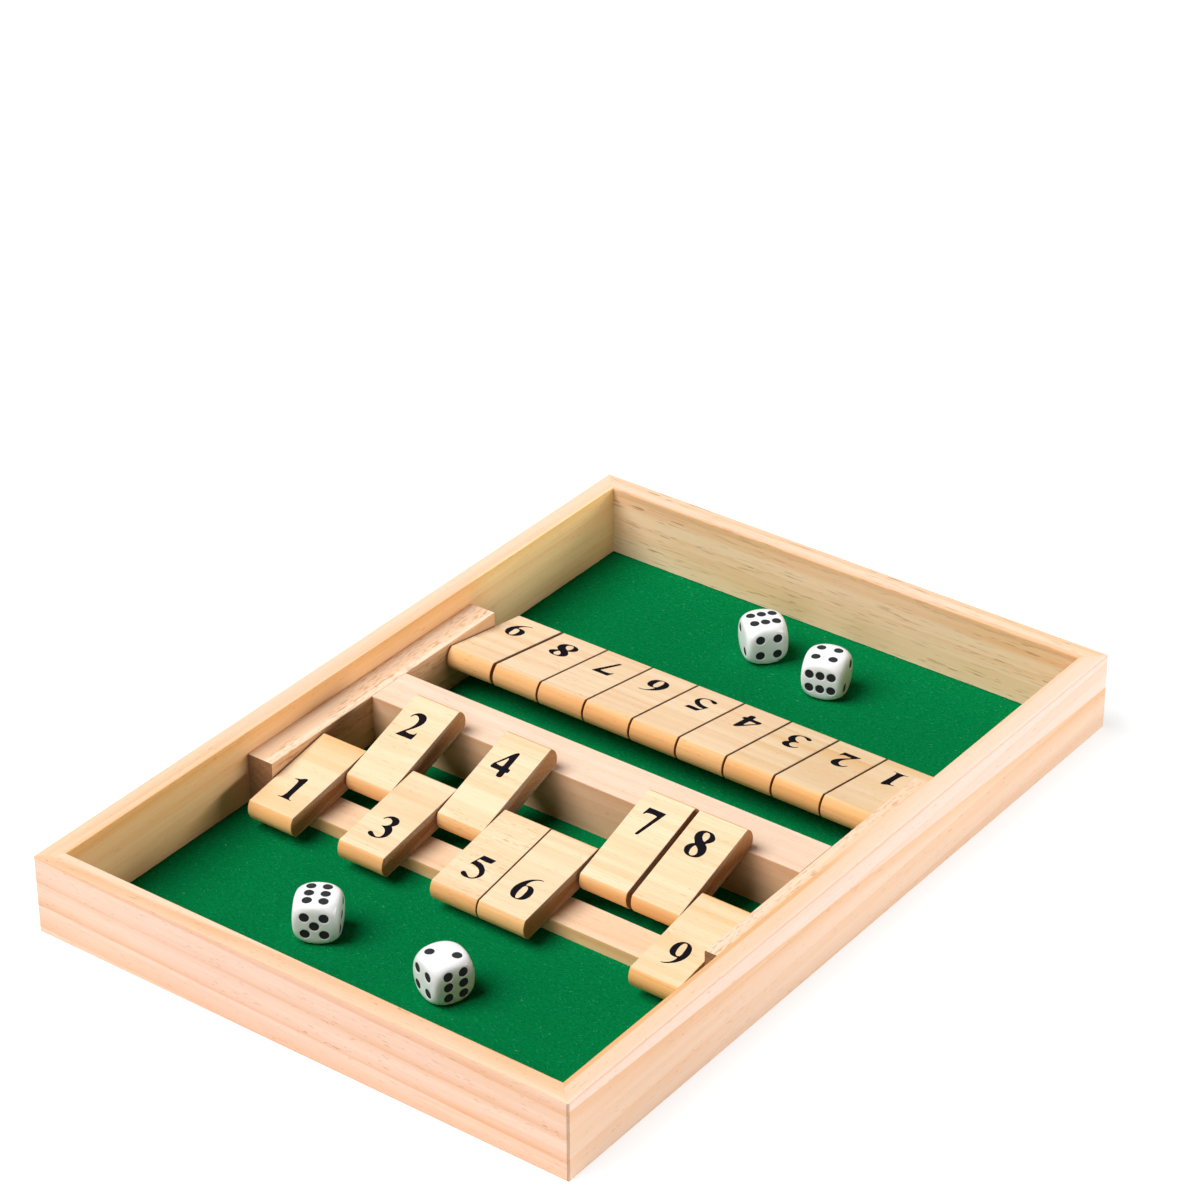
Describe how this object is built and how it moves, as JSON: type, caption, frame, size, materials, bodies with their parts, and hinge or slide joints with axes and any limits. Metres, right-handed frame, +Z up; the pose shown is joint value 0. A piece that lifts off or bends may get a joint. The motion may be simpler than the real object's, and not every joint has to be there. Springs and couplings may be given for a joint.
{
  "type": "shut the box game",
  "caption": "Shut the box game for facing players: felt-lined wooden tray with rows of numbered flip tiles on steel rods, and loose dice.",
  "frame": {"origin": "middle of the box's underside", "axes": "+X across the tile rows to the near player's right, +Y along the box towards the far player, +Z up"},
  "size_m": [0.22, 0.317, 0.0305],
  "materials": {
    "wall_pine": "pale pine, sanded and clear sealed",
    "frame_pine": "pale pine, sanded and clear sealed",
    "tile_pine": "pale pine, sanded, with black printed numbers",
    "base_board": "thin plain board",
    "green_felt": "short green felt",
    "rod_steel": "drawn steel wire",
    "die_white": "white plastic with black pips"
  },
  "bodies": {
    "tray": {"front_wall": "wall_pine", "back_wall": "wall_pine", "left_wall": "wall_pine", "right_wall": "wall_pine", "base_panel": "base_board", "felt_lining": "green_felt", "left_rod_rail": "frame_pine", "right_rod_rail": "frame_pine", "middle_bar": "frame_pine", "near_rest_strip": "frame_pine", "far_rest_strip": "frame_pine", "near_rod": "rod_steel", "far_rod": "rod_steel"},
    "near_tile_1": {"near_tile_1": "tile_pine"},
    "near_tile_2": {"near_tile_2": "tile_pine"},
    "near_tile_3": {"near_tile_3": "tile_pine"},
    "near_tile_4": {"near_tile_4": "tile_pine"},
    "near_tile_5": {"near_tile_5": "tile_pine"},
    "near_tile_6": {"near_tile_6": "tile_pine"},
    "near_tile_7": {"near_tile_7": "tile_pine"},
    "near_tile_8": {"near_tile_8": "tile_pine"},
    "near_tile_9": {"near_tile_9": "tile_pine"},
    "far_tile_1": {"far_tile_1": "tile_pine"},
    "far_tile_2": {"far_tile_2": "tile_pine"},
    "far_tile_3": {"far_tile_3": "tile_pine"},
    "far_tile_4": {"far_tile_4": "tile_pine"},
    "far_tile_5": {"far_tile_5": "tile_pine"},
    "far_tile_6": {"far_tile_6": "tile_pine"},
    "far_tile_7": {"far_tile_7": "tile_pine"},
    "far_tile_8": {"far_tile_8": "tile_pine"},
    "far_tile_9": {"far_tile_9": "tile_pine"},
    "near_die_left": {"near_die_left": "die_white"},
    "near_die_right": {"near_die_right": "die_white"},
    "far_die_left": {"far_die_left": "die_white"},
    "far_die_right": {"far_die_right": "die_white"}
  },
  "joints": [
    {"name": "near_tile_1_flip", "type": "hinge", "parent": "tray", "child": "near_tile_1", "pos_m": [0, -0.039, 0.0155], "axis": [-1, 0, 0], "range_deg": [0, 170.7]},
    {"name": "near_tile_2_flip", "type": "hinge", "parent": "tray", "child": "near_tile_2", "pos_m": [0, -0.039, 0.0155], "axis": [-1, 0, 0], "range_deg": [-170.7, 0]},
    {"name": "near_tile_3_flip", "type": "hinge", "parent": "tray", "child": "near_tile_3", "pos_m": [0, -0.039, 0.0155], "axis": [-1, 0, 0], "range_deg": [0, 170.7]},
    {"name": "near_tile_4_flip", "type": "hinge", "parent": "tray", "child": "near_tile_4", "pos_m": [0, -0.039, 0.0155], "axis": [-1, 0, 0], "range_deg": [-170.7, 0]},
    {"name": "near_tile_5_flip", "type": "hinge", "parent": "tray", "child": "near_tile_5", "pos_m": [0, -0.039, 0.0155], "axis": [-1, 0, 0], "range_deg": [0, 170.7]},
    {"name": "near_tile_6_flip", "type": "hinge", "parent": "tray", "child": "near_tile_6", "pos_m": [0, -0.039, 0.0155], "axis": [-1, 0, 0], "range_deg": [0, 170.7]},
    {"name": "near_tile_7_flip", "type": "hinge", "parent": "tray", "child": "near_tile_7", "pos_m": [0, -0.039, 0.0155], "axis": [-1, 0, 0], "range_deg": [-170.7, 0]},
    {"name": "near_tile_8_flip", "type": "hinge", "parent": "tray", "child": "near_tile_8", "pos_m": [0, -0.039, 0.0155], "axis": [-1, 0, 0], "range_deg": [-170.7, 0]},
    {"name": "near_tile_9_flip", "type": "hinge", "parent": "tray", "child": "near_tile_9", "pos_m": [0, -0.039, 0.0155], "axis": [-1, 0, 0], "range_deg": [0, 170.7]},
    {"name": "far_tile_1_flip", "type": "hinge", "parent": "tray", "child": "far_tile_1", "pos_m": [0, 0.042, 0.0155], "axis": [1, 0, 0], "range_deg": [0, 169.9]},
    {"name": "far_tile_2_flip", "type": "hinge", "parent": "tray", "child": "far_tile_2", "pos_m": [0, 0.042, 0.0155], "axis": [1, 0, 0], "range_deg": [0, 169.9]},
    {"name": "far_tile_3_flip", "type": "hinge", "parent": "tray", "child": "far_tile_3", "pos_m": [0, 0.042, 0.0155], "axis": [1, 0, 0], "range_deg": [0, 169.9]},
    {"name": "far_tile_4_flip", "type": "hinge", "parent": "tray", "child": "far_tile_4", "pos_m": [0, 0.042, 0.0155], "axis": [1, 0, 0], "range_deg": [0, 169.9]},
    {"name": "far_tile_5_flip", "type": "hinge", "parent": "tray", "child": "far_tile_5", "pos_m": [0, 0.042, 0.0155], "axis": [1, 0, 0], "range_deg": [0, 169.9]},
    {"name": "far_tile_6_flip", "type": "hinge", "parent": "tray", "child": "far_tile_6", "pos_m": [0, 0.042, 0.0155], "axis": [1, 0, 0], "range_deg": [0, 169.9]},
    {"name": "far_tile_7_flip", "type": "hinge", "parent": "tray", "child": "far_tile_7", "pos_m": [0, 0.042, 0.0155], "axis": [1, 0, 0], "range_deg": [0, 169.9]},
    {"name": "far_tile_8_flip", "type": "hinge", "parent": "tray", "child": "far_tile_8", "pos_m": [0, 0.042, 0.0155], "axis": [1, 0, 0], "range_deg": [0, 169.9]},
    {"name": "far_tile_9_flip", "type": "hinge", "parent": "tray", "child": "far_tile_9", "pos_m": [0, 0.042, 0.0155], "axis": [1, 0, 0], "range_deg": [0, 169.9]},
    {"name": "near_die_left_lift", "type": "slide", "parent": "tray", "child": "near_die_left", "axis": [0, 0, 1], "range_m": [0, 0.04]},
    {"name": "near_die_right_lift", "type": "slide", "parent": "tray", "child": "near_die_right", "axis": [0, 0, 1], "range_m": [0, 0.04]},
    {"name": "far_die_left_lift", "type": "slide", "parent": "tray", "child": "far_die_left", "axis": [0, 0, 1], "range_m": [0, 0.04]},
    {"name": "far_die_right_lift", "type": "slide", "parent": "tray", "child": "far_die_right", "axis": [0, 0, 1], "range_m": [0, 0.04]}
  ]
}
